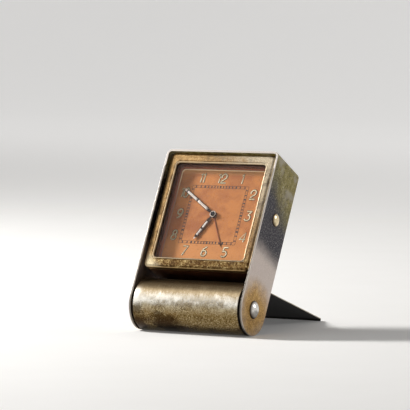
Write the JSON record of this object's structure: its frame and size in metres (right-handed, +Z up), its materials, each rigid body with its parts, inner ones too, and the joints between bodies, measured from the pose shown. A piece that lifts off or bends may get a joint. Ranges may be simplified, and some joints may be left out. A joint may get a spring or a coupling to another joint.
{
  "type": "folding travel alarm clock",
  "caption": "Small folding alarm clock: square case in a bent strap, whose half-tube cover swings open to be its stand.",
  "frame": {"origin": "on the table, under the middle of the opened clock's bounding box", "axes": "+X to the clock's right as seen from the front, +Y to the back, along the opened cover, +Z up"},
  "size_m": [0.048, 0.0649, 0.0634],
  "materials": {
    "nickelled_strap": "worn nickel plate over brass",
    "rivet_nickel": "polished, worn",
    "spring_brass": "dull",
    "worn_cover": "mottled worn nickel over brass",
    "case_brass": "tarnished",
    "bezel_brass": "satin, tarnished",
    "surround_brown": "dark lacquer",
    "dial_copper": "satin salmon copper",
    "glass": "clear",
    "hand_black": "blackened",
    "movement_plate": "matt",
    "wheel_brass": "polished",
    "steel": "polished",
    "key_brass": "worn"
  },
  "bodies": {
    "clock": {"strap_frame": "nickelled_strap", "hinge_rivet_left": "rivet_nickel", "hinge_rivet_right": "rivet_nickel", "hinge_washer_left": "spring_brass", "hinge_washer_right": "spring_brass", "case_pin_left": "rivet_nickel", "case_pin_right": "rivet_nickel", "case_spacer_left": "spring_brass", "case_spacer_right": "spring_brass", "case_band": "case_brass", "bezel": "bezel_brass", "glass": "glass", "back_plate": "case_brass", "back_screws": "steel", "main_plate": "movement_plate", "train_plate": "movement_plate", "plate_pillars": "movement_plate", "dial": "dial_copper", "dial_surround": "surround_brown", "hairspring": "steel"},
    "cover": {"cover_shell": "worn_cover", "cover_cheek_left": "worn_cover", "cover_cheek_right": "worn_cover"},
    "minute_arbor": {"centre_arbor": "steel", "centre_wheel": "wheel_brass", "minute_hand": "hand_black", "hand_cap": "hand_black", "time_set_knob": "key_brass"},
    "minute_wheel": {"minute_wheel": "wheel_brass"},
    "hour_pipe": {"hour_wheel": "wheel_brass", "hour_hand": "hand_black"},
    "alarm_setter": {"alarm_set_arbor": "steel", "alarm_set_knob": "key_brass"},
    "alarm_pipe": {"alarm_wheel": "wheel_brass", "alarm_hand": "hand_black"},
    "going_barrel": {"going_barrel": "wheel_brass", "going_barrel_lid": "wheel_brass", "going_mainspring": "steel"},
    "going_winder": {"going_arbor": "steel", "going_key": "key_brass"},
    "alarm_barrel": {"alarm_barrel": "wheel_brass", "alarm_barrel_lid": "wheel_brass", "alarm_mainspring": "steel"},
    "alarm_winder": {"alarm_arbor": "steel", "alarm_key": "key_brass"},
    "third_wheel": {"third_wheel": "wheel_brass"},
    "fourth_wheel": {"fourth_wheel": "wheel_brass"},
    "escape_wheel": {"escape_wheel": "steel"},
    "pallet_fork": {"pallet_fork": "steel"},
    "balance_wheel": {"balance_wheel": "wheel_brass"},
    "regulator_lever": {"regulator_lever": "steel"},
    "alarm_star_wheel": {"alarm_star_wheel": "steel"},
    "alarm_hammer": {"alarm_hammer": "steel"}
  },
  "joints": [
    {"name": "cover_hinge", "type": "hinge", "parent": "clock", "child": "cover", "pos_m": [0, -0.02333, 0.0092], "axis": [-1, 0, 0], "range_deg": [0, 280.89]},
    {"name": "minute_hand_turn", "type": "hinge", "parent": "clock", "child": "minute_arbor", "pos_m": [0, -0.0089, 0.03957], "axis": [0, 0.8782, -0.4783], "continuous": true},
    {"name": "minute_wheel_turn", "type": "hinge", "parent": "clock", "child": "minute_wheel", "pos_m": [0, -0.00718, 0.04273], "axis": [0, 0.8782, -0.4783], "continuous": true},
    {"name": "hour_hand_turn", "type": "hinge", "parent": "clock", "child": "hour_pipe", "pos_m": [0, -0.0089, 0.03957], "axis": [0, 0.8782, -0.4783], "continuous": true},
    {"name": "alarm_setting_turn", "type": "hinge", "parent": "clock", "child": "alarm_setter", "pos_m": [0.00297, -0.00644, 0.04409], "axis": [0, 0.8782, -0.4783], "continuous": true},
    {"name": "alarm_hand_turn", "type": "hinge", "parent": "clock", "child": "alarm_pipe", "pos_m": [0, -0.0089, 0.03957], "axis": [0, 0.8782, -0.4783], "continuous": true},
    {"name": "going_barrel_turn", "type": "hinge", "parent": "clock", "child": "going_barrel", "pos_m": [-0.00658, -0.00708, 0.04291], "axis": [0, 0.8782, -0.4783], "continuous": true},
    {"name": "going_key_turn", "type": "hinge", "parent": "clock", "child": "going_winder", "pos_m": [-0.00658, -0.00708, 0.04291], "axis": [0, 0.8782, -0.4783], "continuous": true},
    {"name": "alarm_barrel_turn", "type": "hinge", "parent": "clock", "child": "alarm_barrel", "pos_m": [0.0096, -0.00498, 0.04677], "axis": [0, 0.8782, -0.4783], "continuous": true},
    {"name": "alarm_key_turn", "type": "hinge", "parent": "clock", "child": "alarm_winder", "pos_m": [0.0096, -0.00498, 0.04677], "axis": [0, 0.8782, -0.4783], "continuous": true},
    {"name": "third_wheel_turn", "type": "hinge", "parent": "clock", "child": "third_wheel", "pos_m": [0.00288, -0.01128, 0.03519], "axis": [0, 0.8782, -0.4783], "continuous": true},
    {"name": "fourth_wheel_turn", "type": "hinge", "parent": "clock", "child": "fourth_wheel", "pos_m": [-0.00154, -0.0125, 0.03295], "axis": [0, 0.8782, -0.4783], "continuous": true},
    {"name": "escape_wheel_turn", "type": "hinge", "parent": "clock", "child": "escape_wheel", "pos_m": [-0.00576, -0.01286, 0.0323], "axis": [0, 0.8782, -0.4783], "continuous": true},
    {"name": "pallet_fork_swing", "type": "hinge", "parent": "clock", "child": "pallet_fork", "pos_m": [-0.00924, -0.01226, 0.03341], "axis": [0, 0.8782, -0.4783], "range_deg": [-5, 5]},
    {"name": "balance_swing", "type": "hinge", "parent": "clock", "child": "balance_wheel", "pos_m": [-0.01159, -0.0142, 0.02983], "axis": [0, 0.8782, -0.4783], "range_deg": [-220, 220], "stiffness_Nm_per_rad": 0.0000015},
    {"name": "regulator_swing", "type": "hinge", "parent": "clock", "child": "regulator_lever", "pos_m": [-0.01159, -0.0142, 0.02983], "axis": [0, 0.8782, -0.4783], "range_deg": [-20, 20]},
    {"name": "alarm_star_turn", "type": "hinge", "parent": "clock", "child": "alarm_star_wheel", "pos_m": [0.0065, -0.00241, 0.05149], "axis": [0, 0.8782, -0.4783], "continuous": true},
    {"name": "alarm_hammer_swing", "type": "hinge", "parent": "clock", "child": "alarm_hammer", "pos_m": [0.00293, -0.00179, 0.05263], "axis": [0, 0.8782, -0.4783], "range_deg": [-6, 6]}
  ],
  "couplings": [
    {"joint": "minute_wheel_turn", "follows": "minute_hand_turn", "ratio": -0.33333},
    {"joint": "hour_hand_turn", "follows": "minute_hand_turn", "ratio": 0.083333},
    {"joint": "going_barrel_turn", "follows": "minute_hand_turn", "ratio": -0.15152},
    {"joint": "third_wheel_turn", "follows": "minute_hand_turn", "ratio": -8},
    {"joint": "fourth_wheel_turn", "follows": "minute_hand_turn", "ratio": 60},
    {"joint": "escape_wheel_turn", "follows": "minute_hand_turn", "ratio": -600},
    {"joint": "alarm_hand_turn", "follows": "alarm_setting_turn", "ratio": -0.375},
    {"joint": "alarm_star_turn", "follows": "alarm_barrel_turn", "ratio": -6.75}
  ]
}
